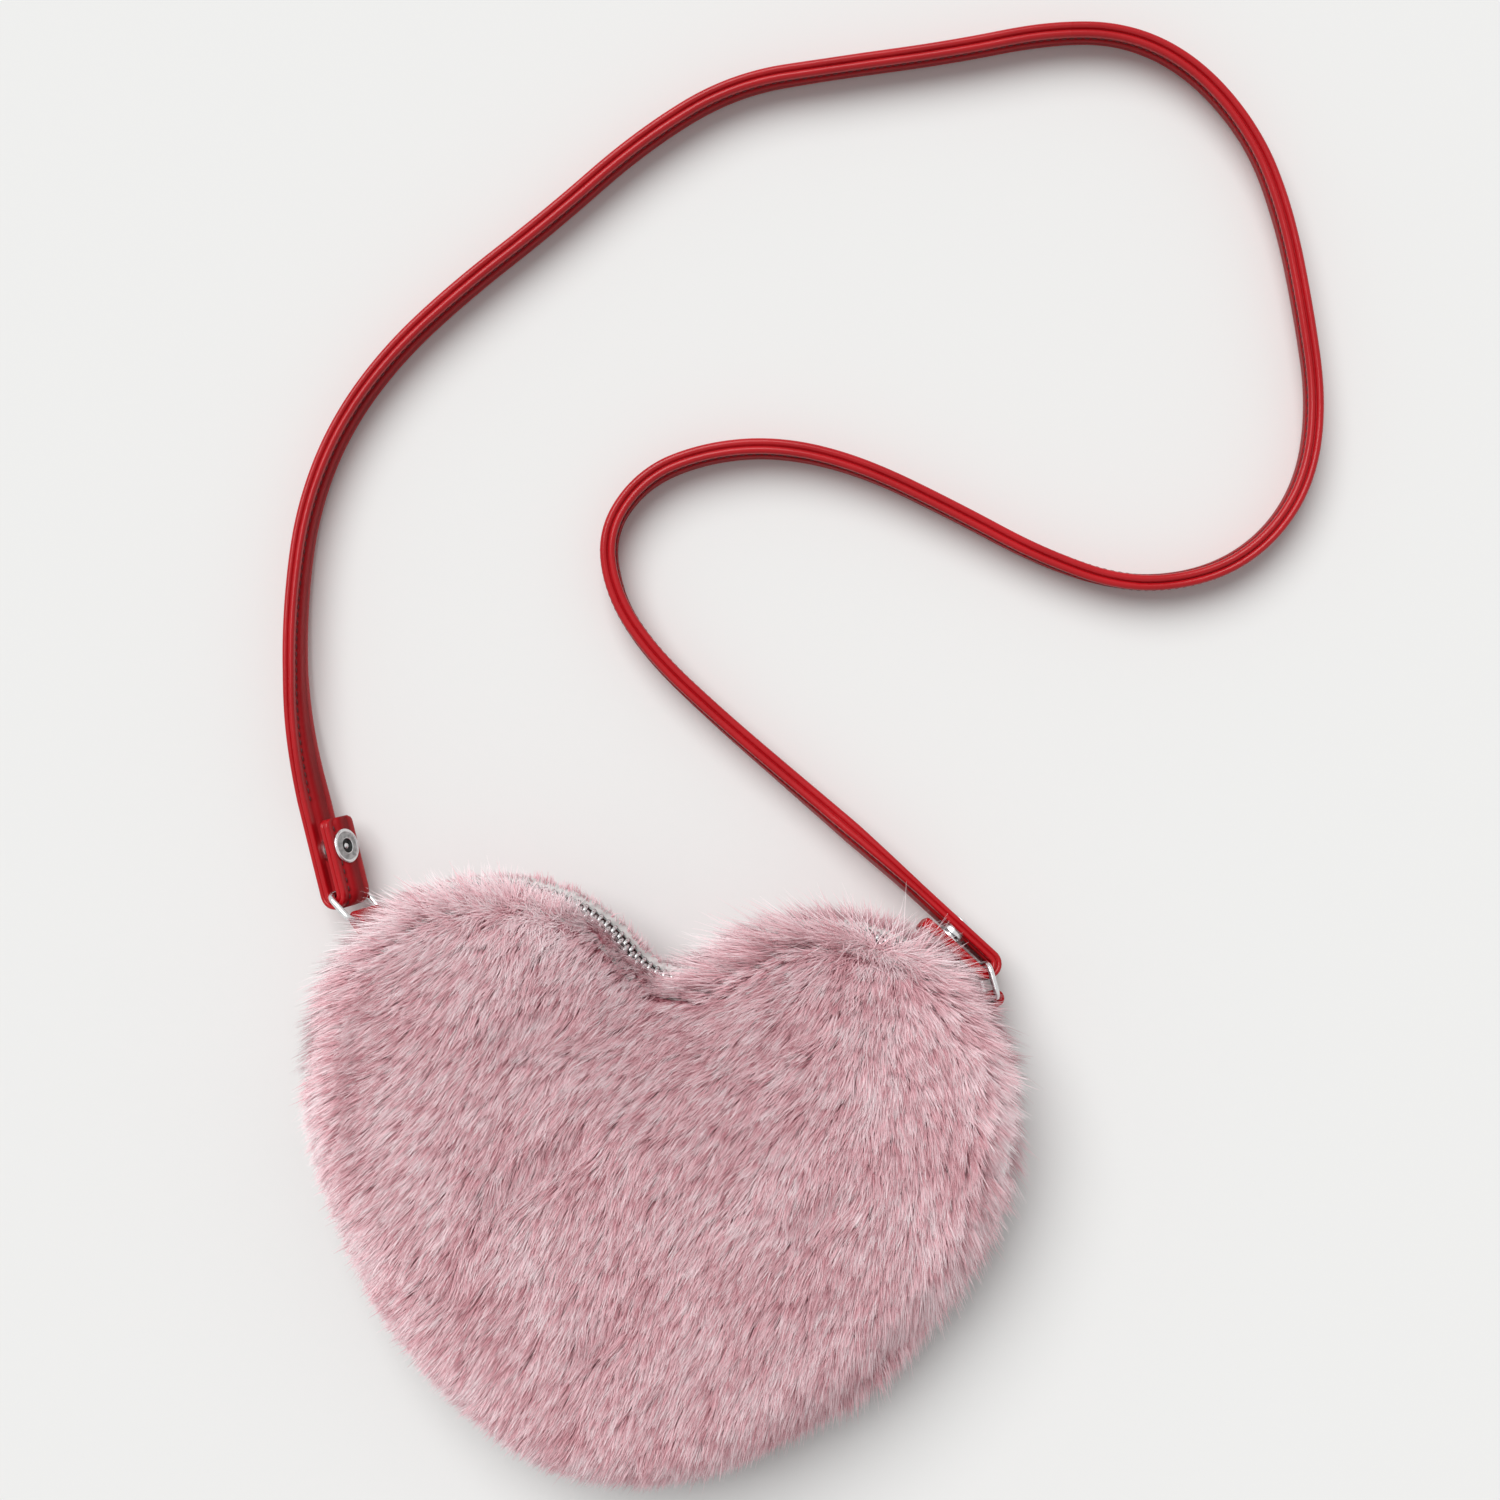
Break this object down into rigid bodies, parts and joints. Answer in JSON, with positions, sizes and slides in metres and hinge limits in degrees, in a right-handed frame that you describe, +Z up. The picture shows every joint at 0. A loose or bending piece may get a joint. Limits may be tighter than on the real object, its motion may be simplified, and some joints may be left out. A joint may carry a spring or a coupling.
{
  "type": "heart shaped purse",
  "caption": "Small padded heart shaped purse of long pink pile with a zip mouth over its lobes and a narrow red leather shoulder strap snapped to wire rings.",
  "frame": {"origin": "on the surface that it lies on, under the middle of the heart", "axes": "+X across the heart to its right lobe, +Y from the tip to the lobes, +Z up out of its front"},
  "size_m": [0.2882, 0.4284, 0.0465],
  "materials": {
    "pink_fur": "long matted pile",
    "foam": "soft foam",
    "lining": "satin weave",
    "zip_tape": "woven tape",
    "zip_metal": "polished",
    "bright_metal": "polished",
    "red_leather": "smooth, slightly glossy"
  },
  "bodies": {
    "bag": {"front_fur_panel": "pink_fur", "side_fur_gusset": "pink_fur", "back_fur_panel": "pink_fur", "front_foam": "foam", "body_foam": "foam", "front_lining": "lining", "pocket_lining": "lining", "zip_tape_front": "zip_tape", "zip_tape_back": "zip_tape", "zip_teeth_front": "zip_metal", "zip_teeth_back": "zip_metal", "zip_top_stops": "zip_metal", "zip_bottom_stop": "zip_metal", "ring_tab_left": "red_leather", "ring_tab_right": "red_leather", "strap_outer_ply": "red_leather", "strap_inner_ply": "red_leather", "strap_lead_outer_left": "red_leather", "strap_lead_inner_left": "red_leather", "strap_lead_outer_right": "red_leather", "strap_lead_inner_right": "red_leather"},
    "mouth_lip": {"mouth_fur_panel": "pink_fur", "mouth_foam": "foam", "mouth_lining": "lining", "mouth_zip_tape": "zip_tape", "mouth_zip_teeth": "zip_metal"},
    "zip_slider": {"zip_slider": "zip_metal"},
    "zip_pull": {"zip_pull": "zip_metal"},
    "ring_left": {"ring_left": "bright_metal"},
    "strap_end_left": {"strap_loop_left": "red_leather", "snap_cap_left": "bright_metal", "snap_socket_left": "bright_metal"},
    "flap_left": {"strap_flap_left": "red_leather", "snap_stud_left": "bright_metal", "snap_eyelet_left": "bright_metal"},
    "ring_right": {"ring_right": "bright_metal"},
    "strap_end_right": {"strap_loop_right": "red_leather", "snap_cap_right": "bright_metal", "snap_socket_right": "bright_metal"},
    "flap_right": {"strap_flap_right": "red_leather", "snap_stud_right": "bright_metal", "snap_eyelet_right": "bright_metal"}
  },
  "joints": [
    {"name": "mouth_open", "type": "hinge", "parent": "bag", "child": "mouth_lip", "pos_m": [0.05902, 0.0582, 0.044], "axis": [0.8988, -0.4384, 0], "range_deg": [0, 40], "deforming": ["mouth_zip_teeth"]},
    {"name": "zip_run", "type": "hinge", "parent": "bag", "child": "zip_slider", "pos_m": [0.046, 0.0315, 0.03], "axis": [0, 0, 1], "range_deg": [0, 126], "deforming": ["mouth_zip_teeth", "zip_teeth_front", "zip_teeth_back"]},
    {"name": "pull_swing", "type": "hinge", "parent": "zip_slider", "child": "zip_pull", "pos_m": [0.09588, 0.0315, 0.03155], "axis": [-0.5, 0, 0.866], "range_deg": [0, 160]},
    {"name": "ring_left_swing", "type": "hinge", "parent": "bag", "child": "ring_left", "pos_m": [-0.08953, 0.0643, 0.014], "axis": [0.4511, 0.1777, -0.8746], "range_deg": [-6, 12], "deforming": ["strap_lead_outer_left", "strap_lead_inner_left"]},
    {"name": "strap_left_swing", "type": "hinge", "parent": "ring_left", "child": "strap_end_left", "pos_m": [-0.09712, 0.07022, 0.01129], "axis": [0.4511, 0.1777, -0.8746], "range_deg": [-6, 12], "deforming": ["strap_lead_outer_left", "strap_lead_inner_left"]},
    {"name": "snap_left_open", "type": "hinge", "parent": "strap_end_left", "child": "flap_left", "pos_m": [-0.09353, 0.07163, 0.01342], "axis": [0.4511, 0.1777, -0.8746], "range_deg": [0, 55]},
    {"name": "ring_right_swing", "type": "hinge", "parent": "bag", "child": "ring_right", "pos_m": [0.08953, 0.0643, 0.012], "axis": [0.1192, 0.1703, 0.9781], "range_deg": [-20, 0], "deforming": ["strap_lead_outer_right", "strap_lead_inner_right"]},
    {"name": "strap_right_swing", "type": "hinge", "parent": "ring_right", "child": "strap_end_right", "pos_m": [0.08571, 0.07347, 0.01087], "axis": [0.1192, 0.1703, 0.9781], "range_deg": [-20, 0], "deforming": ["strap_lead_outer_right", "strap_lead_inner_right"]},
    {"name": "snap_right_open", "type": "hinge", "parent": "strap_end_right", "child": "flap_right", "pos_m": [0.08324, 0.06995, 0.01178], "axis": [0.1192, 0.1703, 0.9781], "range_deg": [0, 10]}
  ]
}
